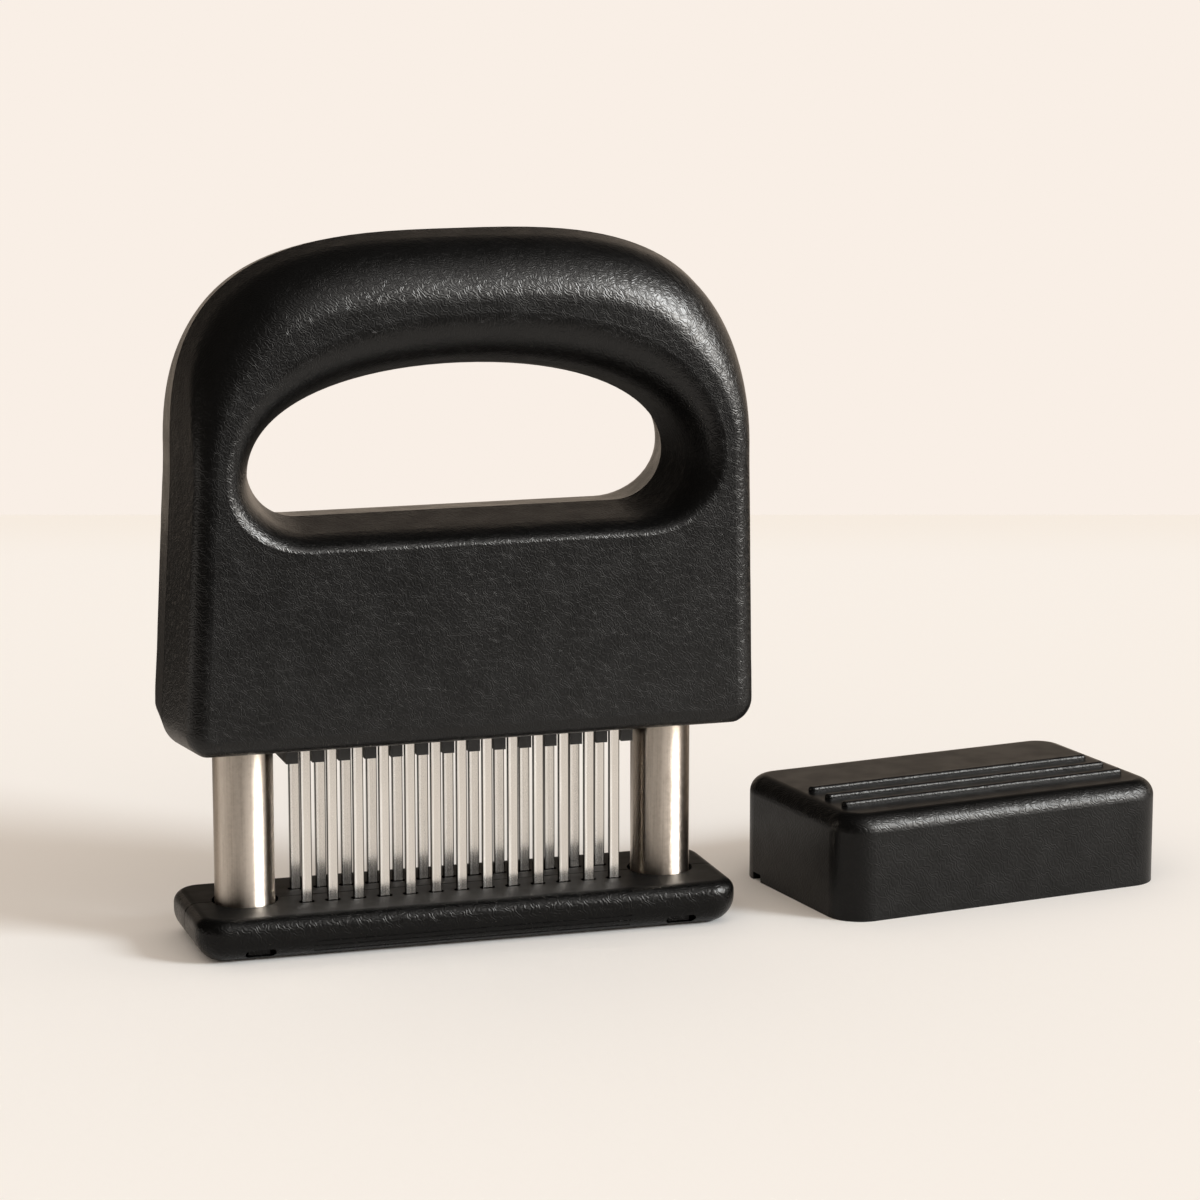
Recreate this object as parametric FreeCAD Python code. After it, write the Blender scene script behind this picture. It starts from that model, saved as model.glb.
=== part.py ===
"""Blade meat tenderizer.

A moulded handle slides down two steel tubes against springs and drives two rows of blades
through slots in the base.  A separate cover for the blades stands beside the tool.

Frame: millimetres, +Z up, X along the blade rows, the front of the tool towards -Y.
The origin is the centre of the base's underside.
"""
import FreeCAD, Part
import math
import os

Vec = FreeCAD.Vector

# Guide tubes
tube_diameter = 12.0
tube_wall = 0.8
tube_to_comb = 7.55
tube_seat_height = 3.4
tube_top_above_ring = 1.2

# Base
base_beyond_tube = 12.3
base_depth = 32.0
base_height = 9.0
base_top_round = 2.6
base_bottom_round = 5.4
base_corner_round = 5.8
base_rim_radial = 0.6
base_rim_depth = 1.2
latch_width = 6.2
latch_height = 1.8
latch_floor = 0.9
grip_line_heights = (1.5, 2.7, 3.8)
grip_line_width = 0.36
grip_line_depth = 0.3
grip_line_length = 65.0

# Blades
blade_count = 13
blade_pitch = 5.3
row_spacing = 10.4
blade_width = 2.1
blade_thickness = 0.9
blade_tip_height = 4.6
blade_tip_slant = 3.2
blade_head_overhang = 1.05
blade_head_height = 4.0
slot_end_gap = 0.6
slot_side_gap = 0.5

# Comb that spaces the blades, and the clamp that holds their heads
comb_tooth_width = 2.4
comb_reach = 3.4
comb_step = 5.6
comb_spine_top = 15.0
comb_end_step = 1.4
clamp_thickness = 3.0
clamp_flange = 2.4
clamp_screw_spacing = 34.0

# Press stroke
press_travel = 28.0
stop_gap = 0.3

# Handle
handle_height = 100.6
handle_depth = 37.5
handle_beyond_tube = 15.9
shoulder_taper = 1.7
shoulder_height = 55.9
front_corner_radius = 0.8
arch_exponent = 3.05
loop_offset = 0.9

# Rolled edges of the handle: how far each stands in at the front face, how much of that is the
# lean of the drafted wall, and how deep its round is
side_inset = 5.6
side_lean = 1.5
side_round_depth = 4.1
foot_inset = 5.0
foot_lean = 1.4
foot_round_depth = 3.6
grip_thickness = 26.6
grip_flat = 2.0
grip_lean = 0.65
grip_round_depth = 16.0
grip_blend_low = 58.0
grip_blend_high = 88.0

# Hand hole
strut_width = 15.0
strut_flat = 1.6
hole_bottom = 45.0
hole_corner = 9.9
hole_exponent = 2.16
hole_floor_inset = 4.2
hole_floor_lean = 1.2
hole_floor_round_depth = 9.0
hole_side_lean = 1.35
hole_side_round_depth = 15.5

# Bushings, stop rings and springs
bushing_wall = 0.75
bushing_length = 7.0
bushing_lift = 0.9
bushing_flange = 1.2
bushing_flange_thickness = 1.0
bushing_lip_gap = 0.4
ring_thickness = 1.2
ring_width = 1.4
ring_groove_depth = 0.4
ring_mouth = 2.4
spring_wire = 0.9
spring_outer_diameter = 8.9
spring_turns = 16
spring_seat_thickness = 1.2
pin_diameter = 5.0
pin_flange_thickness = 1.5
pin_stub_diameter = 4.0
pin_stub_length = 2.0

# Screws
base_screw_diameter = 2.4
base_screw_head = 4.4
base_screw_head_height = 1.5
base_screw_height = 5.2
base_screw_reach = 11.0
base_screw_sink = 1.5
handle_screw_diameter = 3.0
handle_screw_head = 5.4
handle_screw_head_height = 2.0
handle_screw_recess = 5.0
handle_screw_reach = 12.0
handle_screw_spread = 27.0
lower_screw_height = 32.0
upper_screw_height = 85.5
clamp_screw_diameter = 2.6
clamp_screw_head = 4.8
clamp_screw_head_height = 1.5
clamp_screw_length = 11.0
screw_slot_width = 0.6
screw_slot_depth = 0.6
cross_recess_length = 3.0
cross_recess_width = 0.7
cross_recess_depth = 1.0
screw_tip_gap = 0.5
head_overlap = 0.2

# Cover
cover_length = 76.5
cover_width = 46.7
cover_height = 21.9
cover_corner = 7.0
cover_top_round = 3.6
cover_wall = 2.0
cover_rib_length = 67.0
cover_rib_width = 1.9
cover_rib_height = 1.0
cover_rib_round = 0.6
cover_rib_spacing = 7.0
cover_rib_offset = -6.0
cover_notch_width = 3.2
cover_notch_height = 1.6
cover_place_x = 109.6
cover_place_y = 6.6
cover_turn = 9.0

# Fits
running_clearance = 0.06
fit_clearance = 0.1
screw_clearance = 0.05
seam_width = 0.15
seam_depth = 0.35

# Places that follow from the sizes above
tube_radius = tube_diameter / 2
tube_bore = tube_radius - tube_wall
comb_half_depth = row_spacing / 2 + blade_thickness / 2
comb_half_length = (blade_count * blade_pitch + comb_tooth_width) / 2
spine_half_length = comb_half_length - comb_end_step
tube_x = comb_half_length + tube_to_comb
base_half_length = tube_x + base_beyond_tube
handle_half_width = tube_x + handle_beyond_tube
shoulder_half_width = handle_half_width - shoulder_taper
handle_bottom = base_height + press_travel + stop_gap + comb_reach
handle_top = handle_bottom + handle_height
half_depth = handle_depth / 2
hole_half_width = shoulder_half_width - strut_width
hole_floor = handle_bottom + hole_bottom
hole_roof = handle_top - grip_thickness
grip_inset = (grip_thickness - grip_flat) / 2
hole_side_inset = strut_width - strut_flat - side_inset
handle_corner = side_inset + front_corner_radius
bushing_radius = tube_radius + running_clearance + bushing_wall
flange_radius = bushing_radius + bushing_flange
bushing_bottom = handle_bottom + bushing_lift
bushing_top = bushing_bottom + bushing_length
ring_inner = tube_radius - ring_groove_depth
ring_outer = ring_inner + ring_width
ring_bottom = bushing_top + fit_clearance
tube_top = ring_bottom + ring_thickness + tube_top_above_ring
seat_bottom = base_screw_height + base_screw_diameter / 2
spring_bottom = seat_bottom + spring_seat_thickness
spring_top = tube_top + press_travel + 2 * fit_clearance
cavity_top = spring_top + pin_flange_thickness
cavity_radius = ring_outer + 3 * fit_clearance
pin_bottom = spring_bottom + press_travel + 8 * fit_clearance
comb_bottom = handle_bottom - comb_reach
spine_bottom = handle_bottom + 2 * fit_clearance
spine_step = handle_bottom + comb_step
spine_top = handle_bottom + comb_spine_top
clamp_bottom = spine_top + blade_head_height + fit_clearance
clamp_top = clamp_bottom + clamp_thickness


def save(name, shape):
    """Write one node."""
    shape.exportStep(os.path.join("parts", name + ".step"))


def box(x0, x1, y0, y1, z0, z1):
    return Part.makeBox(x1 - x0, y1 - y0, z1 - z0, Vec(x0, y0, z0))


def post(radius, x, y, z0, z1):
    """Upright cylinder."""
    return Part.makeCylinder(radius, z1 - z0, Vec(x, y, z0))


def bolt(radius, x, z, y0, y1):
    """Cylinder along Y."""
    return Part.makeCylinder(radius, y1 - y0, Vec(x, y0, z), Vec(0, 1, 0))


def front_of(shape):
    """The same solid on the front side of the parting plane."""
    return shape.mirror(Vec(0, 0, 0), Vec(0, 1, 0))


def fuse_all(shapes):
    whole = shapes[0]
    if len(shapes) > 1:
        whole = shapes[0].multiFuse(shapes[1:])
    return whole


def blade_places():
    first = -(blade_count - 1) / 2 * blade_pitch
    return [first + k * blade_pitch for k in range(blade_count)]


# ---------------------------------------------------------------- base


def base_block():
    """Both halves of the base as one rounded bar."""
    block = box(-base_half_length, base_half_length, -base_depth / 2, base_depth / 2, 0, base_height)
    upright = [e for e in block.Edges if abs(e.tangentAt(e.FirstParameter).z) > 0.9]
    block = block.makeFillet(base_corner_round, upright)
    rim = [e for e in block.Edges if e.BoundBox.ZMin > base_height - 0.01]
    block = block.makeFillet(base_top_round, rim)
    foot = [e for e in block.Edges if e.BoundBox.ZMax < 0.01]
    return block.makeFillet(base_bottom_round, foot)


def obround(length, width, x, y, z0, z1):
    """Upright slot cutter with round ends, long along X."""
    reach = (length - width) / 2
    ends = [post(width / 2, x + s * reach, y, z0, z1) for s in (-1, 1)]
    return fuse_all([box(x - reach, x + reach, y - width / 2, y + width / 2, z0, z1)] + ends)


def latch_channel(x):
    """Channel under a tube, open in the front face."""
    z = latch_floor + latch_height / 2
    reach = (latch_width - latch_height) / 2
    y0 = -base_depth
    ends = [bolt(latch_height / 2, x + s * reach, z, y0, 0) for s in (-1, 1)]
    middle = box(x - reach, x + reach, y0, 0, latch_floor, latch_floor + latch_height)
    return fuse_all([middle] + ends)


def latch_tongue(x):
    """Tongue of the rear half that runs through the channel and hooks in its mouth."""
    gap = 2 * fit_clearance
    width = latch_width - latch_height
    z0 = latch_floor + gap
    z1 = latch_floor + latch_height - gap
    tip = -base_depth / 2 + base_bottom_round / 2 + 2 * gap
    return box(x - width / 2, x + width / 2, tip, seam_width, z0, z1)


def foot_round_inset(z):
    """How far the front face stands back at height z, from its lower round."""
    rise = max(base_bottom_round - z, 0)
    return base_bottom_round - math.sqrt(base_bottom_round ** 2 - rise ** 2)


def grip_lines():
    """Fine lines along the lower front face."""
    lines = []
    for z in grip_line_heights:
        face = -base_depth / 2 + foot_round_inset(z)
        lines.append(box(-grip_line_length / 2, grip_line_length / 2, -base_depth, face + grip_line_depth,
                         z - grip_line_width / 2, z + grip_line_width / 2))
    return lines


def base_cutters():
    """Tube sockets, blade slots, screw holes and the seam line, for both halves."""
    cutters = []
    for x in (-tube_x, tube_x):
        socket = tube_radius + screw_clearance
        cutters.append(post(socket, x, 0, tube_seat_height, base_height + 1))
        cutters.append(post(socket + base_rim_radial, x, 0, base_height - base_rim_depth, base_height + 1))
        screw_hole = base_screw_diameter / 2 + screw_clearance
        cutters.append(bolt(screw_hole, x, base_screw_height, -base_screw_reach, base_depth))
        head_hole = base_screw_head / 2 + fit_clearance
        head_floor = base_depth / 2 - base_screw_head_height - base_screw_sink
        cutters.append(bolt(head_hole, x, base_screw_height, head_floor, base_depth))
    slot_length = blade_width + 2 * slot_end_gap
    slot_width = blade_thickness + 2 * slot_side_gap
    for x in blade_places():
        for y in (-row_spacing / 2, row_spacing / 2):
            cutters.append(obround(slot_length, slot_width, x, y, -1, base_height + 1))
    return cutters


def base_slice(y0, y1):
    """Block round all of the base between two depths."""
    return box(-2 * base_half_length, 2 * base_half_length, y0, y1, -1, base_height + 1)


def base_seam():
    """Shallow line along the joint of the two halves, on the top and round the ends."""
    reach = base_half_length - seam_depth
    core = box(-reach, reach, -1, 1, seam_depth, base_height - seam_depth)
    top = [e for e in core.Edges if e.BoundBox.ZMin > base_height / 2 and e.BoundBox.XLength < 0.01]
    core = core.makeFillet(base_top_round - seam_depth, top)
    foot = [e for e in core.Edges if e.BoundBox.ZMax < base_height / 2 and e.BoundBox.XLength < 0.01]
    core = core.makeFillet(base_bottom_round - seam_depth, foot)
    flat = base_half_length - base_bottom_round
    core = core.fuse(box(-flat, flat, -1, 1, -2, base_height / 2))
    return base_slice(-seam_width, seam_width).cut(core)


def base_halves():
    block = base_block().cut(fuse_all(base_cutters())).cut(base_seam())
    front = block.common(base_slice(-base_depth, 0))
    rear = block.common(base_slice(0, base_depth))
    channels = [latch_channel(x) for x in (-tube_x, tube_x)]
    front = front.cut(fuse_all(channels + grip_lines()))
    rear = fuse_all([rear] + [latch_tongue(x) for x in (-tube_x, tube_x)])
    return front, rear


def base_screws():
    screws = []
    for x in (-tube_x, tube_x):
        seat = base_depth / 2 - base_screw_head_height - base_screw_sink
        top = seat + base_screw_head_height
        shank = bolt(base_screw_diameter / 2, x, base_screw_height, -base_screw_reach + screw_tip_gap,
                     seat + head_overlap)
        head = bolt(base_screw_head / 2, x, base_screw_height, seat, top)
        slot = box(x - base_screw_head, x + base_screw_head, top - screw_slot_depth, base_depth,
                   base_screw_height - screw_slot_width / 2, base_screw_height + screw_slot_width / 2)
        screws.append(shank.fuse(head).cut(slot))
    return Part.makeCompound(screws)


# ---------------------------------------------------------------- tubes and springs


def guide_tube(x):
    tube = post(tube_radius, x, 0, tube_seat_height, tube_top)
    tube = tube.cut(post(tube_bore, x, 0, 0, tube_top + 1))
    cross_radius = base_screw_diameter / 2 + screw_clearance
    cross_hole = bolt(cross_radius, x, base_screw_height, -tube_diameter, tube_diameter)
    groove = post(tube_diameter, x, 0, ring_bottom, ring_bottom + ring_thickness)
    groove = groove.cut(post(ring_inner, x, 0, 0, tube_top))
    return tube.cut(cross_hole).cut(groove)


def stop_ring(x):
    """Snap ring that stops the handle at the top of its stroke."""
    ring = post(ring_outer, x, 0, ring_bottom, ring_bottom + ring_thickness)
    ring = ring.cut(post(ring_inner, x, 0, 0, tube_top))
    mouth = box(x - ring_mouth / 2, x + ring_mouth / 2, 0, tube_diameter, 0, tube_top)
    return ring.cut(mouth)


def spring_seat(x):
    """Steel disc in the tube's foot, carried by the cross screw."""
    return post(tube_bore - fit_clearance, x, 0, seat_bottom, spring_bottom)


def return_spring(x):
    wire_radius = spring_wire / 2
    coil_radius = (spring_outer_diameter - spring_wire) / 2
    start = spring_bottom + wire_radius
    length = spring_top - spring_bottom - spring_wire
    helix = Part.makeHelix(length / spring_turns, length, coil_radius)
    section = Part.Wire([Part.makeCircle(wire_radius, Vec(coil_radius, 0, 0), Vec(0, 1, 0))])
    coil = Part.Wire(helix).makePipeShell([section], True, True)
    coil.translate(Vec(x, 0, start))
    return coil


def spring_pin(x):
    """Rod that hangs in the spring and keeps it straight."""
    rod = post(pin_diameter / 2, x, 0, pin_bottom, spring_top + pin_flange_thickness)
    flange = post(tube_bore - 2 * fit_clearance, x, 0, spring_top, spring_top + pin_flange_thickness)
    stub = post(pin_stub_diameter / 2, x, 0, cavity_top, cavity_top + pin_stub_length)
    return fuse_all([rod, flange, stub])


def slide_bushing(x):
    sleeve = post(bushing_radius, x, 0, bushing_bottom, bushing_top)
    flange = post(flange_radius, x, 0, bushing_top - bushing_flange_thickness, bushing_top)
    return sleeve.fuse(flange).cut(post(tube_radius + running_clearance, x, 0, 0, handle_top))


# ---------------------------------------------------------------- blades and their carrier


def blade(x, y):
    """Flat blade with a slanted tip and a wider head."""
    half = blade_width / 2
    y0 = y - blade_thickness / 2
    corners = [Vec(x - half, y0, blade_tip_height), Vec(x + half, y0, blade_tip_height + blade_tip_slant),
               Vec(x + half, y0, spine_top + 1), Vec(x - half, y0, spine_top + 1)]
    face = Part.Face(Part.makePolygon(corners + corners[:1]))
    strip = face.extrude(Vec(0, blade_thickness, 0))
    head_half = half + blade_head_overhang
    head = box(x - head_half, x + head_half, y0, y0 + blade_thickness,
               spine_top, spine_top + blade_head_height)
    return strip.fuse(head)


def blade_row(y):
    return Part.makeCompound([blade(x, y) for x in blade_places()])


def blade_comb():
    """Toothed block that stands between the blades and carries their heads."""
    deep = comb_half_depth
    spine = box(-comb_half_length, comb_half_length, -deep, deep, spine_bottom, spine_step)
    teeth = [box(-spine_half_length, spine_half_length, -deep, deep, spine_step, spine_top)]
    half_tooth = comb_tooth_width / 2
    for k in range(blade_count + 1):
        x = (k - blade_count / 2) * blade_pitch
        teeth.append(box(x - half_tooth, x + half_tooth, -deep, deep, comb_bottom, spine_bottom))
    grooves = []
    groove_half = blade_width / 2 + fit_clearance
    inner = row_spacing / 2 - blade_thickness / 2 - screw_clearance
    for x in blade_places():
        for y0, y1 in ((-base_depth, -inner), (inner, base_depth)):
            grooves.append(box(x - groove_half, x + groove_half, y0, y1, 0, handle_top))
    comb = fuse_all([spine] + teeth).cut(fuse_all(grooves))
    pilot_radius = clamp_screw_diameter / 2 + screw_clearance
    pilot_floor = clamp_top - clamp_screw_length - 1
    pilots = [post(pilot_radius, x, 0, pilot_floor, clamp_top) for x in clamp_screw_places()]
    return comb.cut(fuse_all(pilots))


def clamp_screw_places():
    return (-clamp_screw_spacing / 2, clamp_screw_spacing / 2)


def blade_clamp():
    """Bar over the blade heads, with a rib between the rows that rests on the comb."""
    half_length = spine_half_length
    wide = comb_half_depth + clamp_flange
    rib = row_spacing / 2 - blade_thickness / 2 - 2 * fit_clearance
    bar = box(-half_length, half_length, -wide, wide, clamp_bottom, clamp_top)
    bar = bar.fuse(box(-half_length, half_length, -rib, rib, spine_top, clamp_bottom))
    for x in clamp_screw_places():
        bar = bar.cut(post(clamp_screw_diameter / 2 + fit_clearance, x, 0, spine_top - 1, clamp_top + 1))
        bar = bar.cut(post(clamp_screw_head / 2 + fit_clearance, x, 0, clamp_top - clamp_screw_head_height,
                           clamp_top + 1))
    return bar


def clamp_screws():
    screws = []
    for x in clamp_screw_places():
        head = post(clamp_screw_head / 2, x, 0, clamp_top - clamp_screw_head_height, clamp_top)
        shank = post(clamp_screw_diameter / 2, x, 0, clamp_top - clamp_screw_length, clamp_top)
        screws.append(head.fuse(shank))
    return Part.makeCompound(screws)


# ---------------------------------------------------------------- handle outlines


class Edge:
    """Rolled edge of the handle in section.

    A drafted wall leans in from the parting plane and meets a quarter ellipse at a tangent.
    inset is how far the edge stands in at the front face, lean the part of it that the wall
    takes if it ran on to the face, and deep the ellipse's depth.  step 0 is the start of the
    ellipse and step 1 its end in the front face.
    """

    def __init__(self, inset, lean, deep):
        self.inset = inset
        self.lean = lean
        self.deep = deep
        away_x = inset / (inset - lean)
        away_y = (half_depth - deep) / deep
        self.turn = math.acos(1 / math.hypot(away_x, away_y)) - math.atan2(away_y, away_x)

    def at(self, step):
        """Inset and depth at one step of the round."""
        angle = self.turn + (math.pi / 2 - self.turn) * step
        inset = self.inset - (self.inset - self.lean) * math.cos(angle)
        depth = half_depth - self.deep * (1 - math.sin(angle))
        return inset, depth

    def blend(self, other, weight):
        inset = self.inset + (other.inset - self.inset) * weight
        lean = self.lean + (other.lean - self.lean) * weight
        deep = self.deep + (other.deep - self.deep) * weight
        return Edge(inset, lean, deep)


def round_levels():
    """Stations along the round, from the end of the drafted wall to the front face."""
    return [lambda edge, step=step: edge.at(step) for step in (0.0, 0.25, 0.5, 0.75, 1.0)]


def parting_level(edge):
    """The parting plane."""
    return 0.0, 0.0


side_edge = Edge(side_inset, side_lean, side_round_depth)
foot_edge = Edge(foot_inset, foot_lean, foot_round_depth)
grip_edge = Edge(grip_inset, grip_lean, grip_round_depth)
hole_floor_edge = Edge(hole_floor_inset, hole_floor_lean, hole_floor_round_depth)
hole_side_edge = Edge(hole_side_inset, hole_side_lean, hole_side_round_depth)


def curve(points, first, last):
    """Smooth edge through points, with unit vectors for its directions at the two ends."""
    spline = Part.BSplineCurve()
    spline.interpolate(Points=points, InitialTangent=first, FinalTangent=last, Scale=False)
    return spline.toShape()


def offset_point(point, normal, edge, level, side):
    """Point of an outline at one level: side is -1 on the outside and +1 in the hole."""
    inset, depth = level(edge)
    return Vec(point[0] + side * inset * normal[0], depth, point[1] + side * inset * normal[1])


def arch(half_width, height, exponent):
    """Points and outward normals of a superelliptic arch, from its right foot over to its left one."""
    count = 12
    power = exponent / 2
    rising = [math.atan2(k ** power, (count - k) ** power) for k in range(count + 1)]
    found = []
    for angle in rising + [math.pi - a for a in reversed(rising[:-1])]:
        c = math.cos(angle)
        s = math.sin(angle)
        x = math.copysign(abs(c) ** (1 / power), c) * half_width
        z = abs(s) ** (1 / power) * height
        nx = math.copysign((abs(x) / half_width) ** (exponent - 1) / half_width, c)
        nz = (z / height) ** (exponent - 1) / height
        length = math.hypot(nx, nz)
        found.append(((x, z), (nx / length, nz / length), s))
    return found


def ease(share):
    """Smooth step from 0 to 1."""
    share = min(max(share, 0.0), 1.0)
    return share * share * (3 - 2 * share)


def grip_weight(z):
    """How far the handle's edge has turned into the round grip at height z."""
    return ease((z - handle_bottom - grip_blend_low) / (grip_blend_high - grip_blend_low))


def corner_curve(x, z, radius, start, stop, first_edge, last_edge, level, side):
    """Corner between two straight stretches, from angle start to stop."""
    points = []
    steps = 6
    for k in range(steps + 1):
        share = k / steps
        angle = start + (stop - start) * share
        normal = (math.cos(angle), math.sin(angle))
        edge = first_edge.blend(last_edge, math.sin(math.pi / 2 * share) ** 2)
        point = (x + radius * normal[0], z + radius * normal[1])
        points.append(offset_point(point, normal, edge, level, side))
    first = Vec(-math.sin(start), 0, math.cos(start))
    last = Vec(-math.sin(stop), 0, math.cos(stop))
    return curve(points, first, last)


def side_points(hand, half, shoulder, low, high):
    """Points up one side of the handle: hand is 1 on the right and -1 on the left."""
    steps = 6
    lean = hand * shoulder + loop_offset - hand * half
    return [(hand * half + lean * k / steps, low + (high - low) * k / steps) for k in range(steps)]


def outer_section(level, inset=0.0):
    """Outline of the handle at one level, anticlockwise seen from the front."""
    half = handle_half_width - inset
    shoulder = shoulder_half_width - inset
    foot = handle_bottom + shoulder_height
    radius = handle_corner - inset
    centre_x = half - radius
    centre_z = handle_bottom + inset + radius
    outline = [(point, (1, 0)) for point in side_points(1, half, shoulder, centre_z, foot)]
    for (x, z), normal, rise in arch(shoulder, handle_top - inset - foot, arch_exponent):
        outline.append(((x + loop_offset, z + foot), normal))
    outline += [(point, (-1, 0)) for point in reversed(side_points(-1, half, shoulder, centre_z, foot))]
    points = []
    for point, normal in outline:
        edge = side_edge.blend(grip_edge, grip_weight(point[1]))
        points.append(offset_point(point, normal, edge, level, -1))
    over = curve(points, Vec(0, 0, 1), Vec(0, 0, -1))
    right = corner_curve(centre_x, centre_z, radius, -math.pi / 2, 0, foot_edge, side_edge, level, -1)
    left = corner_curve(-centre_x, centre_z, radius, math.pi, 1.5 * math.pi, side_edge, foot_edge, level, -1)
    floor = Part.makeLine(left.Vertexes[-1].Point, right.Vertexes[0].Point)
    return Part.Wire([floor, right, over, left])


def hole_section(level, inset=0.0):
    """Outline of the hand hole at one level."""
    half = hole_half_width + inset
    radius = hole_corner + inset
    reach = half - radius
    centre_z = hole_floor - inset + radius
    points = []
    for (x, z), normal, rise in arch(half, hole_roof + inset - centre_z, hole_exponent):
        edge = hole_side_edge.blend(grip_edge, ease(rise))
        points.append(offset_point((x + loop_offset, z + centre_z), normal, edge, level, 1))
    over = curve(points, Vec(0, 0, 1), Vec(0, 0, -1))
    right = corner_curve(loop_offset + reach, centre_z, radius, -math.pi / 2, 0,
                         hole_floor_edge, hole_side_edge, level, 1)
    left = corner_curve(loop_offset - reach, centre_z, radius, math.pi, 1.5 * math.pi,
                        hole_side_edge, hole_floor_edge, level, 1)
    floor = Part.makeLine(left.Vertexes[-1].Point, right.Vertexes[0].Point)
    return Part.Wire([floor, right, over, left])


def drafted_body(section):
    """Solid with a drafted wall and a rolled edge, from the parting plane to the front face."""
    parting = section(parting_level)
    rounds = [section(level) for level in round_levels()]
    wall = Part.makeLoft([parting, rounds[0]], False, True)
    roll = Part.makeLoft(rounds, False, False)
    skin = Part.makeCompound(wall.Faces + roll.Faces + [Part.Face(parting), Part.Face(rounds[-1])])
    skin.sewShape()
    return Part.makeSolid(skin.Shells[0])


def handle_half_blank():
    """Rear half of the handle before its pockets are cut."""
    blank = drafted_body(outer_section).cut(drafted_body(hole_section))
    return max(blank.Solids, key=lambda solid: solid.Volume)


def flat_section(section, inset):
    """Plate of an outline at the parting plane, as thick as the seam is wide."""
    return Part.Face(section(parting_level, inset)).extrude(Vec(0, seam_width, 0))


def handle_seam():
    """Shallow line along the parting plane, outside and in the hand hole."""
    outer = flat_section(outer_section, 0.0).cut(flat_section(outer_section, seam_depth))
    inner = flat_section(hole_section, seam_depth).cut(flat_section(hole_section, 0.0))
    return outer, inner


# ---------------------------------------------------------------- handle pockets


def handle_screw_places():
    lower = handle_bottom + lower_screw_height
    upper = handle_bottom + upper_screw_height
    return [(x, z) for z in (lower, upper) for x in (-handle_screw_spread, handle_screw_spread)]


def carrier_pocket():
    """Space for the comb, the blade heads and the clamp."""
    gap = fit_clearance
    mouth = comb_half_length + gap
    length = spine_half_length + gap
    depth = comb_half_depth + gap / 2
    wide = comb_half_depth + clamp_flange + gap
    return [box(-mouth, mouth, -depth, depth, handle_bottom - 1, spine_step + gap),
            box(-length, length, -depth, depth, handle_bottom, clamp_top + gap),
            box(-length, length, -wide, wide, clamp_bottom - gap / 2, clamp_top + gap)]


def tube_pocket(x):
    """Bushing seat, tube cavity and pin seat."""
    gap = screw_clearance
    return [post(tube_radius + bushing_lip_gap, x, 0, handle_bottom - 1, bushing_top),
            post(bushing_radius + gap, x, 0, bushing_bottom - gap, bushing_top),
            post(flange_radius + gap, x, 0, bushing_top - bushing_flange_thickness - gap, bushing_top + gap),
            post(cavity_radius, x, 0, bushing_top, cavity_top),
            post(pin_stub_diameter / 2 + gap, x, 0, cavity_top, cavity_top + pin_stub_length + gap)]


def handle_pockets():
    pockets = carrier_pocket()
    for x in (-tube_x, tube_x):
        pockets += tube_pocket(x)
    hole_radius = handle_screw_diameter / 2 + screw_clearance
    for x, z in handle_screw_places():
        pockets.append(bolt(hole_radius, x, z, -handle_screw_reach, half_depth))
    return fuse_all(pockets)


def screw_recesses():
    """Round wells in the rear face for the handle screws."""
    floor = half_depth - handle_screw_recess
    radius = handle_screw_head / 2 + fit_clearance
    return fuse_all([bolt(radius, x, z, floor, handle_depth) for x, z in handle_screw_places()])


def handle_shells():
    blank = handle_half_blank()
    for seam in handle_seam():
        blank = blank.cut(seam)
    pockets = handle_pockets()
    rear = blank.cut(pockets).cut(screw_recesses())
    front = front_of(blank).cut(pockets)
    return front, rear


def handle_screws():
    screws = []
    floor = half_depth - handle_screw_recess
    top = floor + handle_screw_head_height
    tip = -handle_screw_reach + 2 * screw_tip_gap
    arm = cross_recess_length / 2
    side = cross_recess_width / 2
    for x, z in handle_screw_places():
        head = bolt(handle_screw_head / 2, x, z, floor, top)
        shank = bolt(handle_screw_diameter / 2, x, z, tip, floor + head_overlap)
        cross = [box(x - arm, x + arm, top - cross_recess_depth, handle_depth, z - side, z + side),
                 box(x - side, x + side, top - cross_recess_depth, handle_depth, z - arm, z + arm)]
        screws.append(head.fuse(shank).cut(fuse_all(cross)))
    return Part.makeCompound(screws)


# ---------------------------------------------------------------- cover


def rounded_block(length, width, height, corner, top_round):
    block = box(-length / 2, length / 2, -width / 2, width / 2, 0, height)
    upright = [e for e in block.Edges if abs(e.tangentAt(e.FirstParameter).z) > 0.9]
    block = block.makeFillet(corner, upright)
    rim = [e for e in block.Edges if e.BoundBox.ZMin > height - 0.01]
    return block.makeFillet(top_round, rim)


def cover_rib(y):
    """Raised rib on the cover's top, with round ends."""
    rib = obround(cover_rib_length, cover_rib_width, 0, y, cover_height - cover_wall / 2,
                  cover_height + cover_rib_height)
    crown = [e for e in rib.Edges if e.BoundBox.ZMin > cover_height + cover_rib_height - 0.01]
    return rib.makeFillet(cover_rib_round, crown)


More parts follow.
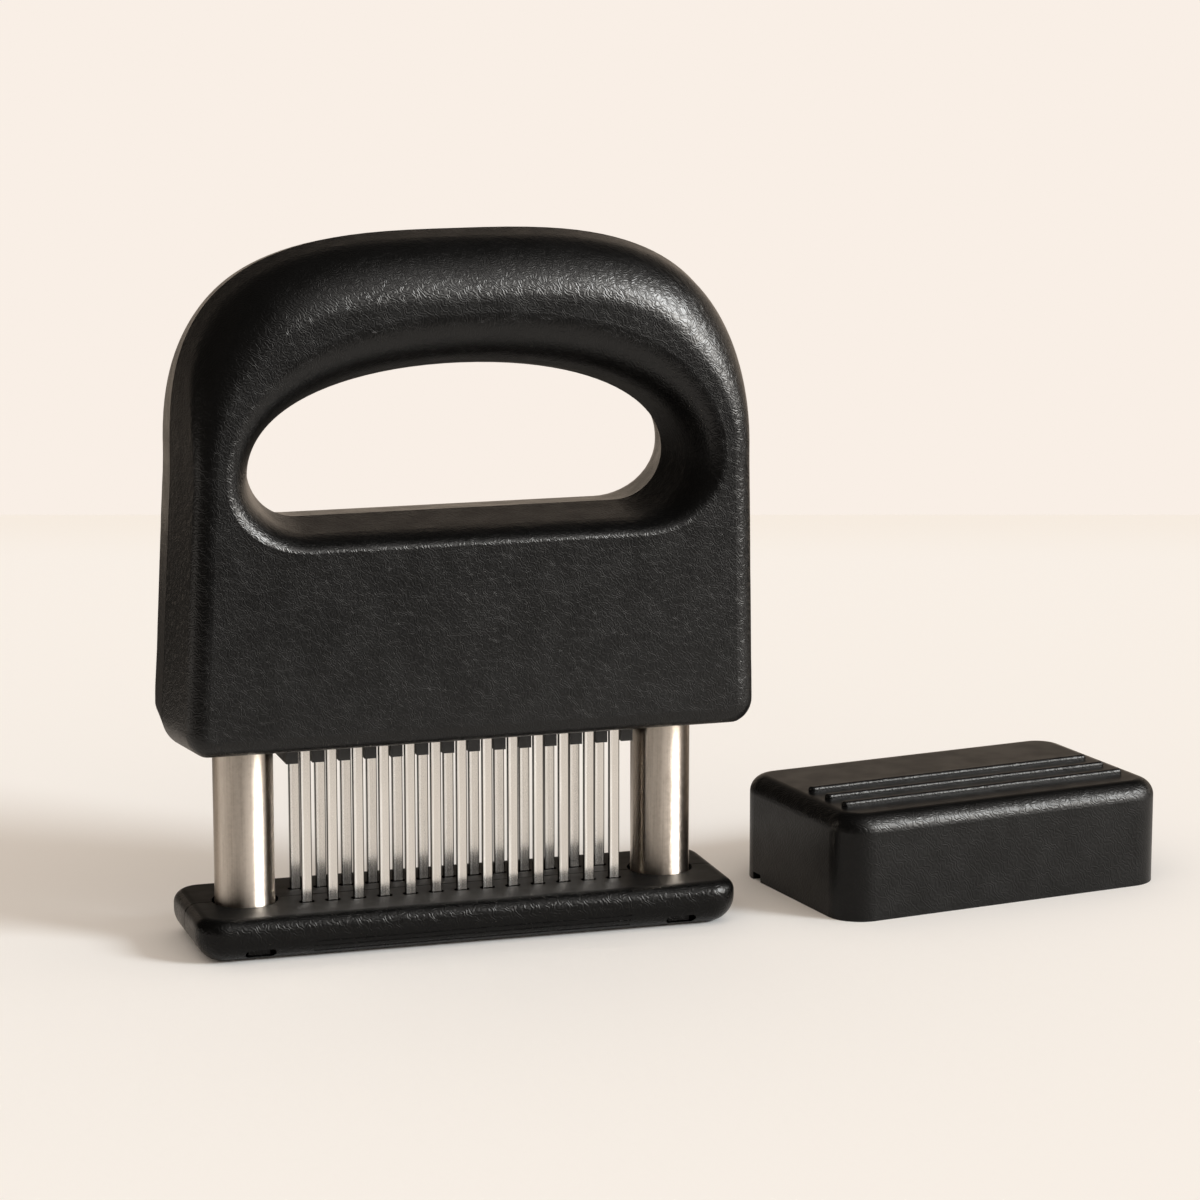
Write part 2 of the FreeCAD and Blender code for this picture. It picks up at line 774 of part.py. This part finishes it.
def blade_cover():
    shell = rounded_block(cover_length, cover_width, cover_height, cover_corner, cover_top_round)
    hollow = rounded_block(cover_length - 2 * cover_wall, cover_width - 2 * cover_wall,
                           cover_height - cover_wall + 1,
                           cover_corner - cover_wall, cover_top_round - cover_wall)
    hollow.translate(Vec(0, 0, -1))
    shell = shell.cut(hollow)
    ribs = [cover_rib(cover_rib_offset + k * cover_rib_spacing) for k in (-1, 0, 1)]
    shell = fuse_all([shell] + ribs)
    notch_y = cover_width / 2 - cover_corner - cover_notch_width
    shell = shell.cut(box(-cover_length, -cover_length / 2 + 2 * cover_wall,
                          notch_y, notch_y + cover_notch_width, -1, cover_notch_height))
    shell.rotate(Vec(0, 0, 0), Vec(0, 0, 1), cover_turn)
    shell.translate(Vec(cover_place_x, cover_place_y, 0))
    return shell


def build():
    os.makedirs("parts", exist_ok=True)
    base_front, base_rear = base_halves()
    handle_front, handle_rear = handle_shells()
    save("base_front_half", base_front)
    save("base_rear_half", base_rear)
    save("base_screws", base_screws())
    for side, x in (("left", -tube_x), ("right", tube_x)):
        save(side + "_guide_tube", guide_tube(x))
        save(side + "_stop_ring", stop_ring(x))
        save(side + "_spring_seat", spring_seat(x))
        save(side + "_return_spring", return_spring(x))
        save(side + "_spring_pin", spring_pin(x))
        save(side + "_slide_bushing", slide_bushing(x))
    save("front_blade_row", blade_row(-row_spacing / 2))
    save("rear_blade_row", blade_row(row_spacing / 2))
    save("blade_comb", blade_comb())
    save("blade_clamp", blade_clamp())
    save("clamp_screws", clamp_screws())
    save("handle_front_shell", handle_front)
    save("handle_rear_shell", handle_rear)
    save("handle_screws", handle_screws())
    save("blade_cover", blade_cover())


build()
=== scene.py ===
"""Looks of the blade meat tenderizer and its cover.

Metres, +Z up, the front of the tool towards -Y.  The sections follow the order in which the tool is
put together, and the camera, the table and the light come last.
"""

import math

import bmesh
import bpy
from mathutils import Matrix, Vector


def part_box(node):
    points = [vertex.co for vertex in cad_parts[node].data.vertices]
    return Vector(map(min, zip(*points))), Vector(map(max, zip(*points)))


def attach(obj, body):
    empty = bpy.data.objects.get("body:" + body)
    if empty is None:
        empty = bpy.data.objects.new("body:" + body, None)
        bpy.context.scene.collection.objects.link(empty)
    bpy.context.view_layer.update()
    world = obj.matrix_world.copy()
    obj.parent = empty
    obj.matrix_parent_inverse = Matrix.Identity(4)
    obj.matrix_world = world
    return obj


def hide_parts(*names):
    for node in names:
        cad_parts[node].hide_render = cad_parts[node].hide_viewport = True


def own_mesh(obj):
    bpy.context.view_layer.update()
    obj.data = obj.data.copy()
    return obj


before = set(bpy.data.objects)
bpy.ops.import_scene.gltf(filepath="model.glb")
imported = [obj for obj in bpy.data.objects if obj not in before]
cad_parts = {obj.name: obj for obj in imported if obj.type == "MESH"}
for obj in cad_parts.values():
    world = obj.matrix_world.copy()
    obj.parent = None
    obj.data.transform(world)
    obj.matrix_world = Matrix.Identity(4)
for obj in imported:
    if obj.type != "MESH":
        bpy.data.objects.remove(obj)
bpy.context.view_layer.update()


# Base, in a front and a rear half.  Black ABS from a steel mould: the sides have a fine leather
# grain, and the top between the slots is plain, so that it wipes clean.  Two long screws draw the
# halves together through the feet of the tubes.


class Nodes:
    """The shader nodes of one material or world, each made and joined in one call."""

    def __init__(self, tree):
        self.nodes = tree.nodes
        self.links = tree.links

    def node(self, kind, inputs, **settings):
        made = self.nodes.new(kind)
        for key, value in settings.items():
            setattr(made, key, value)
        for key, value in inputs.items():
            if isinstance(value, bpy.types.NodeSocket):
                self.links.new(value, made.inputs[key])
            else:
                made.inputs[key].default_value = value
        return made

    def calc(self, operation, first, second=0.0):
        return self.node("ShaderNodeMath", {0: first, 1: second}, operation=operation).outputs[0]

    def times(self, first, second):
        return self.calc("MULTIPLY", first, second)

    def plus(self, first, second):
        return self.calc("ADD", first, second)

    def rest(self, share):
        """What a share leaves of the whole."""
        return self.calc("SUBTRACT", 1.0, share)

    def span(self, value, low, high, first=0.0, last=1.0):
        """first where value is at low, last where it is at high, with a smooth change between."""
        inputs = {"Value": value, "From Min": low, "From Max": high, "To Min": first, "To Max": last}
        return self.node("ShaderNodeMapRange", inputs, interpolation_type="SMOOTHSTEP").outputs["Result"]

    def mix(self, share, first, second):
        colours = [c if isinstance(c, bpy.types.NodeSocket) else (*c, 1) for c in (first, second)]
        inputs = {0: share, 6: colours[0], 7: colours[1]}
        return self.node("ShaderNodeMix", inputs, data_type="RGBA").outputs[2]

    def part(self, vector, axis):
        return self.node("ShaderNodeSeparateXYZ", {0: vector}).outputs[axis]

    def along(self, vector, direction):
        """How far a vector goes along a direction."""
        inputs = {0: vector, 1: direction}
        return self.node("ShaderNodeVectorMath", inputs, operation="DOT_PRODUCT").outputs["Value"]


noise_low, noise_high = 0.3, 0.7  # nearly all of a noise lies between these


class Finish(Nodes):
    """A material of one of the tool's pieces, patterned in the piece's own coordinates."""

    def __init__(self, name, colour, roughness, metallic=0.0, shine=0.5):
        self.material = bpy.data.materials.new(name)
        self.material.use_nodes = True
        super().__init__(self.material.node_tree)
        self.shader = self.nodes["Principled BSDF"].inputs
        self.shader["Base Color"].default_value = (*colour, 1)
        self.shader["Roughness"].default_value = roughness
        self.shader["Metallic"].default_value = metallic
        self.shader["Specular IOR Level"].default_value = shine
        self.place = self.node("ShaderNodeTexCoord", {}).outputs["Object"]

    def feed(self, socket, value):
        self.links.new(value, self.shader[socket])

    def noise(self, size, detail=2.0):
        """Noise whose blots are about size metres across."""
        inputs = {"Vector": self.place, "Scale": 1 / size, "Detail": detail}
        return self.node("ShaderNodeTexNoise", inputs).outputs["Fac"]

    def streaks(self, width, length):
        """Noise drawn out upwards, in streaks of about that width and length in metres."""
        scale = (1 / width, 1 / width, 1 / length)
        drawn_out = self.node("ShaderNodeMapping", {"Vector": self.place, "Scale": scale}).outputs[0]
        inputs = {"Vector": drawn_out, "Scale": 1.0, "Detail": 2.0}
        return self.node("ShaderNodeTexNoise", inputs).outputs["Fac"]

    def haze(self, noise, smooth, dull):
        """Roughness between smooth and dull, as a noise has it."""
        return self.span(noise, noise_low, noise_high, smooth, dull)

    def facing(self, axis):
        """How far the surface faces along an axis, from -1 to 1."""
        return self.part(self.node("ShaderNodeNewGeometry", {}).outputs["True Normal"], axis)

    def relief(self, height, depth):
        """Height from 0 to 1, raised by depth metres."""
        bump = self.node("ShaderNodeBump", {"Strength": 1.0, "Distance": depth, "Height": height})
        self.feed("Normal", bump.outputs["Normal"])

    def dress(self, *names):
        for name in names:
            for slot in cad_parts[name].material_slots:
                slot.material = self.material


pit_share = 0.6
waves_per_metre = 13 * math.sqrt(2) / (2 * math.pi)  # at scale 1, on an upright face, swirls included


def leather_grain(finish, spacing):
    """Height of a swirling grain of short ridges, with finer pits in it."""
    inputs = {"Vector": finish.place, "Scale": 1 / (waves_per_metre * spacing), "Distortion": 15.0,
              "Detail": 1.2, "Detail Scale": 1.2, "Detail Roughness": 0.5}
    ridges = finish.node("ShaderNodeTexWave", inputs, bands_direction="DIAGONAL").outputs["Fac"]
    return finish.plus(ridges, finish.times(finish.noise(spacing / 2), pit_share))


def level_share(finish):
    """1 on a level top and 0 on the sides, with the change on the round edge between them."""
    return finish.span(finish.facing("Z"), 0.86, 0.98)


base_grain_spacing = 0.00075
base_grain_depth = 0.000032
base_top_dulling = 0.22
base_plastic = Finish("base_plastic", (0.0025, 0.0024, 0.0023), 0.34, shine=0.15)
base_top = level_share(base_plastic)
base_grain = base_plastic.times(leather_grain(base_plastic, base_grain_spacing), base_plastic.rest(base_top))
base_plastic.relief(base_grain, base_grain_depth)
base_haze = base_plastic.haze(base_plastic.noise(0.004), 0.27, 0.33)
base_plastic.feed("Roughness", base_plastic.plus(base_plastic.times(base_top, base_top_dulling), base_haze))
base_plastic.dress("base_front_half", "base_rear_half")


# Guide tubes.  Thin stainless tube of 12 mm, brushed lengthways and lightly polished after it.  Each
# stands in a socket of the base, held by the long screw that runs through it.

steel_warm = (0.68, 0.61, 0.535)
steel_dull = (0.42, 0.365, 0.31)
tube_mottle_share = 0.3
tube_steel = Finish("tube_steel", steel_warm, 0.5, metallic=1.0)
tube_steel.shader["Anisotropic"].default_value = 0.97
tube_steel.shader["Anisotropic Rotation"].default_value = 0.25
tube_broad = tube_steel.streaks(0.0045, 0.06)
tube_fine = tube_steel.streaks(0.00035, 0.012)
tube_spots = tube_steel.noise(0.0009)
tube_mottle = tube_steel.times(tube_steel.plus(tube_fine, tube_spots), tube_mottle_share)
tube_polish = tube_steel.span(tube_steel.plus(tube_broad, tube_mottle), 0.6, 1.0)
tube_steel.feed("Base Color", tube_steel.mix(tube_polish, steel_dull, steel_warm))
tube_steel.feed("Roughness", tube_steel.span(tube_spots, 0.3, 0.8, 0.29, 0.38))
tube_steel.dress("left_guide_tube", "right_guide_tube")


# Screws and spring seats.  Zinc-plated steel, cold headed.  The base's two have a slot and the
# handle's four a cross, all driven from the rear, and the clamp's are driven from above.  The seats
# are punched discs.

zinc_dark = (0.40, 0.40, 0.39)
zinc_pale = (0.62, 0.61, 0.58)
screw_steel = Finish("screw_steel", (0.52, 0.51, 0.49), 0.32, metallic=1.0)
zinc_bloom = screw_steel.noise(0.0012, detail=3.0)
screw_steel.feed("Base Color", screw_steel.mix(zinc_bloom, zinc_dark, zinc_pale))
screw_steel.feed("Roughness", screw_steel.haze(zinc_bloom, 0.26, 0.42))
screw_steel.relief(screw_steel.noise(0.0003), 0.000004)
screw_steel.dress("base_screws", "handle_screws", "clamp_screws", "left_spring_seat", "right_spring_seat")


# Stop rings.  Snap rings of bright spring steel in a groove near the top of each tube, which end the
# upward stroke.  They share their finish with the springs.

wire_dark = (0.38, 0.38, 0.37)
wire_pale = (0.60, 0.60, 0.58)
spring_steel = Finish("spring_steel", (0.50, 0.50, 0.49), 0.30, metallic=1.0)
wire_drawing = spring_steel.streaks(0.0004, 0.003)
spring_steel.feed("Base Color", spring_steel.mix(wire_drawing, wire_dark, wire_pale))
spring_steel.feed("Roughness", spring_steel.haze(wire_drawing, 0.22, 0.38))
spring_steel.relief(wire_drawing, 0.000003)
spring_steel.dress("left_stop_ring", "right_stop_ring", "left_return_spring", "right_return_spring")


# Return springs.  One in each tube, wound from 0.9 mm steel wire with a closed turn at each end.
# They stand on the seat and push the handle up by the flange of the spring pin.

wire_radius = 0.00045
wire_sides = 10
steps_per_turn = 24
open_turns = 14


def add_object(name, data):
    made = bpy.data.objects.new(name, data)
    bpy.context.scene.collection.objects.link(made)
    return made


def mesh_object(name, shape):
    mesh = bpy.data.meshes.new(name)
    shape.to_mesh(mesh)
    shape.free()
    return add_object(name, mesh)


def wind_spring(name, low, high):
    """Coil between the two corners of a spring's place."""
    axis_place = Vector(((low.x + high.x) / 2, (low.y + high.y) / 2, 0))
    coil_radius = (high.x - low.x) / 2 - wire_radius
    closed_rise = 2 * wire_radius
    open_rise = (high.z - low.z - 2 * wire_radius - 2 * closed_rise) / open_turns
    shape = bmesh.new()
    bmesh.ops.create_circle(shape, segments=wire_sides, radius=wire_radius)
    stand_up = Matrix.Rotation(math.pi / 2, 4, "X")
    start = Matrix.Translation(axis_place + Vector((coil_radius, 0, low.z + wire_radius)))
    bmesh.ops.transform(shape, matrix=start @ stand_up, verts=shape.verts)
    end = list(shape.verts) + list(shape.edges)
    for turns, rise in ((1, closed_rise), (open_turns, open_rise), (1, closed_rise)):
        wound = bmesh.ops.spin(shape, geom=end, cent=axis_place, axis=(0, 0, 1), angle=2 * math.pi * turns,
                               steps=steps_per_turn * turns, dvec=(0, 0, rise / steps_per_turn))
        end = wound["geom_last"]
    bmesh.ops.holes_fill(shape, edges=[e for e in shape.edges if e.is_boundary], sides=wire_sides)
    bmesh.ops.recalc_face_normals(shape, faces=shape.faces)
    for face in shape.faces:
        face.smooth = len(face.verts) == 4
    return mesh_object(name, shape)


for side in ("left", "right"):
    spring_low, spring_high = (Vector(corner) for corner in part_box(side + "_return_spring"))
    spring = wind_spring(side + "_spring_coil", spring_low, spring_high)
    spring.data.materials.append(spring_steel.material)
    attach(spring, "base")
    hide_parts(side + "_return_spring")
    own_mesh(spring)


# Slide bushings.  Natural acetal sleeves in the foot of the handle, one round each tube.  The handle
# slides on them without grease.

acetal_dark = (0.70, 0.69, 0.64)
acetal_pale = (0.80, 0.79, 0.75)
bushing_plastic = Finish("bushing_plastic", (0.75, 0.74, 0.70), 0.38, shine=0.5)
acetal_cloud = bushing_plastic.noise(0.003)
bushing_plastic.feed("Base Color", bushing_plastic.mix(acetal_cloud, acetal_dark, acetal_pale))
bushing_plastic.relief(bushing_plastic.noise(0.0003), 0.000004)
bushing_plastic.dress("left_slide_bushing", "right_slide_bushing")


# Comb, clamp and spring pins.  Black nylon.  The comb's teeth stand between the blades, the clamp
# holds their heads down on it with its screws, and a pin hangs in each spring.

comb_plastic = Finish("comb_plastic", (0.011, 0.0105, 0.010), 0.45, shine=0.4)
comb_plastic.feed("Roughness", comb_plastic.haze(comb_plastic.noise(0.0015), 0.40, 0.52))
comb_plastic.relief(comb_plastic.noise(0.0003), 0.000008)
comb_plastic.dress("blade_comb", "blade_clamp", "left_spring_pin", "right_spring_pin")


# Blades, in two rows of thirteen.  Strips of stainless steel, ground and polished on their broad
# faces, with a slanted tip.  A painted highlight runs as a bright streak near the left edge of each
# broad face, and painted shade darkens the edges and the narrow sides, for the dark gaps between blades.

blade_step = 0.00265
blade_painted_highlight = (1.0, 0.99, 0.97)
blade_body_tone = (0.75, 0.72, 0.68)
blade_ground = (0.68, 0.65, 0.61)
blade_painted_shade = (0.045, 0.040, 0.036)
blade_steel = Finish("blade_steel", blade_painted_highlight, 0.2, metallic=1.0)
broad_face = blade_steel.span(blade_steel.calc("ABSOLUTE", blade_steel.facing("Y")), 0.5, 0.8)
grinding = blade_steel.streaks(0.0002, 0.015)
blade_number = blade_steel.calc("DIVIDE", blade_steel.part(blade_steel.place, "X"), blade_step)
off_centre = blade_steel.calc("SUBTRACT", blade_number, blade_steel.calc("ROUND", blade_number))
# Painted highlight: a bright streak near the left edge of each blade's broad face.
highlight_streak_tone = blade_steel.mix(blade_steel.span(off_centre, -0.20, -0.12), blade_painted_highlight, blade_body_tone)
face_tone = blade_steel.mix(blade_steel.span(grinding, 0.25, 0.6), blade_ground, highlight_streak_tone)
# Painted shade: the edges of the broad faces and the narrow sides turn nearly black.
painted_shade_margin = blade_steel.span(blade_steel.calc("ABSOLUTE", off_centre), 0.31, 0.36)
unshaded_face = blade_steel.times(broad_face, blade_steel.rest(painted_shade_margin))
blade_steel.feed("Base Color", blade_steel.mix(unshaded_face, blade_painted_shade, face_tone))
blade_steel.feed("Roughness", blade_steel.haze(grinding, 0.14, 0.24))
blade_steel.relief(grinding, 0.0000004)
blade_steel.dress("front_blade_row", "rear_blade_row")


# Handle, in a front and a rear shell.  Black ABS with a leather grain all over, from an etched mould,
# shallower on the broad faces.  Four screws from the rear hold the shells together, and a fine groove
# shows where they meet.

handle_grain_spacing = 0.00060
handle_grain_depth = 0.000029
flat_grain_share = 0.6
handle_plastic = Finish("handle_plastic", (0.0030, 0.0029, 0.0028), 0.33, shine=0.32)
handle_flat = handle_plastic.calc("ABSOLUTE", handle_plastic.facing("Y"))
handle_share = handle_plastic.span(handle_flat, 0.985, 0.998, 1.0, flat_grain_share)
handle_grain = handle_plastic.times(leather_grain(handle_plastic, handle_grain_spacing), handle_share)
handle_plastic.relief(handle_grain, handle_grain_depth)
handle_plastic.feed("Roughness", handle_plastic.haze(handle_plastic.noise(0.005), 0.30, 0.36))
handle_plastic.dress("handle_front_shell", "handle_rear_shell")


# Blade cover.  A hollow lid of the same black ABS, open below, with three raised ribs for the thumb.
# Its top is plain, its sides have a shallow grain and the round edge between them a deeper one.

cover_grain_depth = 0.000032
side_grain_share = 0.4
cover_plastic = Finish("cover_plastic", (0.0030, 0.0029, 0.0028), 0.35, shine=0.20)
cover_edge = cover_plastic.span(cover_plastic.facing("Z"), 0.05, 0.3, side_grain_share, 1.0)
cover_share = cover_plastic.times(cover_edge, cover_plastic.rest(level_share(cover_plastic)))
cover_grain = cover_plastic.times(leather_grain(cover_plastic, base_grain_spacing), cover_share)
cover_plastic.relief(cover_grain, cover_grain_depth)
cover_plastic.feed("Roughness", cover_plastic.haze(cover_plastic.noise(0.005), 0.32, 0.38))
cover_plastic.dress("blade_cover")


# Camera.  A long lens, a little to the left of the tool and above it, that looks slightly down on the
# tool and its cover.

camera_place = Vector((-0.20755, -0.78798, 0.23029))
camera_tilt = math.radians(11.33)
camera_turn = math.radians(16.81)
camera = bpy.data.cameras.new("camera")
camera.lens = 125.26
camera.sensor_width = 36
camera_object = add_object("camera", camera)
camera_object.location = camera_place
camera_object.rotation_euler = (math.pi / 2 - camera_tilt, 0, -camera_turn)
bpy.context.scene.camera = camera_object
bpy.context.scene.view_settings.view_transform = "Standard"


# Table.  A pale matt worktop that ends a little way behind the tool, where the wall takes over.  Its
# far strip is painted a little darker, as shade where it meets the wall, and what shines sees its rear
# as dark, as with a black card behind the tool.

forward = Vector((math.sin(camera_turn), math.cos(camera_turn), 0))
table_far = camera_place.dot(forward) + 1.285
table_near = -0.18
table_half_width = 2.5
far_shade_depth = 0.08
table_cream = (0.900, 0.870, 0.840)
table_cream_in_far_shade = (0.885, 0.840, 0.790)
table_mirrored = (0.06, 0.055, 0.05)
table_shape = bmesh.new()
bmesh.ops.create_grid(table_shape, x_segments=1, y_segments=1, size=1)
bmesh.ops.scale(table_shape, vec=(table_half_width, (table_far - table_near) / 2, 1), verts=table_shape.verts)
bmesh.ops.translate(table_shape, vec=(0, (table_far + table_near) / 2, 0), verts=table_shape.verts)
bmesh.ops.rotate(table_shape, cent=(0, 0, 0), matrix=Matrix.Rotation(-camera_turn, 3, "Z"),
                 verts=table_shape.verts)
table = mesh_object("table", table_shape)
table_paint = Finish("table_paint", table_cream, 0.9, shine=0.0)
depth = table_paint.along(table_paint.place, forward)
# Painted shade: the table turns darker over the last 8 cm before its far edge, by the wall.
far_shade = table_paint.span(depth, table_far - far_shade_depth, table_far)
table_tone = table_paint.mix(far_shade, table_cream, table_cream_in_far_shade)
in_reflections = table_paint.node("ShaderNodeLightPath", {}).outputs["Is Glossy Ray"]
mirrored_rear = table_paint.times(table_paint.span(depth, 0.05, 0.16), in_reflections)
table_paint.feed("Base Color", table_paint.mix(mirrored_rear, table_tone, table_mirrored))
table.data.materials.append(table_paint.material)


# Light.  One cooler lamp at the right in a soft warm room.  What shines sees the room as dark, with a
# large glow above the front of the tool, a bright window by the lamp and a warm wall low behind.

room_soft = (0.89, 0.80, 0.71)
room_shade = (0.31, 0.275, 0.24)
room_glow = (1.60, 1.52, 1.45)
room_window = (25.0, 24.0, 22.5)
room_dark = (0.02, 0.018, 0.016)
wall_warm = (0.85, 0.70, 0.56)
wall_cream = (0.947, 0.863, 0.791)
room = bpy.data.worlds.new("room")
room.use_nodes = True
bpy.context.scene.world = room
sky = Nodes(room.node_tree)
look = sky.node("ShaderNodeTexCoord", {}).outputs["Generated"]


def side_of_room(direction, edge, core):
    """0 where a look goes edge along a direction, 1 where it goes core along it, of 1 for straight."""
    return sky.span(sky.along(look, Vector(direction).normalized()), edge, core)


soft = sky.mix(side_of_room((0.12, -0.75, 0.65), -0.9, 0.9), room_shade, room_soft)
glow = side_of_room((0.55, -0.62, 0.56), 0.5, 1.0)
window = side_of_room((0.70, -0.60, 0.385), 0.911, 0.993)
low = sky.span(sky.part(look, "Z"), 0.45, 0.05)
wall = sky.times(low, side_of_room((0.6, 0.8, 0.0), 0.4, 0.95))
mirrored = sky.mix(window, sky.mix(wall, sky.mix(glow, room_dark, room_glow), wall_warm), room_window)
rays = sky.node("ShaderNodeLightPath", {}).outputs
lighting = sky.mix(rays["Is Glossy Ray"], soft, mirrored)
background = sky.nodes["Background"].inputs
sky.links.new(sky.mix(rays["Is Camera Ray"], lighting, wall_cream), background["Color"])
background["Strength"].default_value = 1.0

lamp_direction = Vector((0.703, -0.548, 0.454))
lamp = bpy.data.lights.new("key_lamp", "SUN")
lamp.energy = 2.35
lamp.angle = 0.30
lamp.color = (0.86, 0.94, 1.0)
lamp_object = add_object("key_lamp", lamp)
lamp_object.rotation_euler = lamp_direction.to_track_quat("Z", "Y").to_euler()
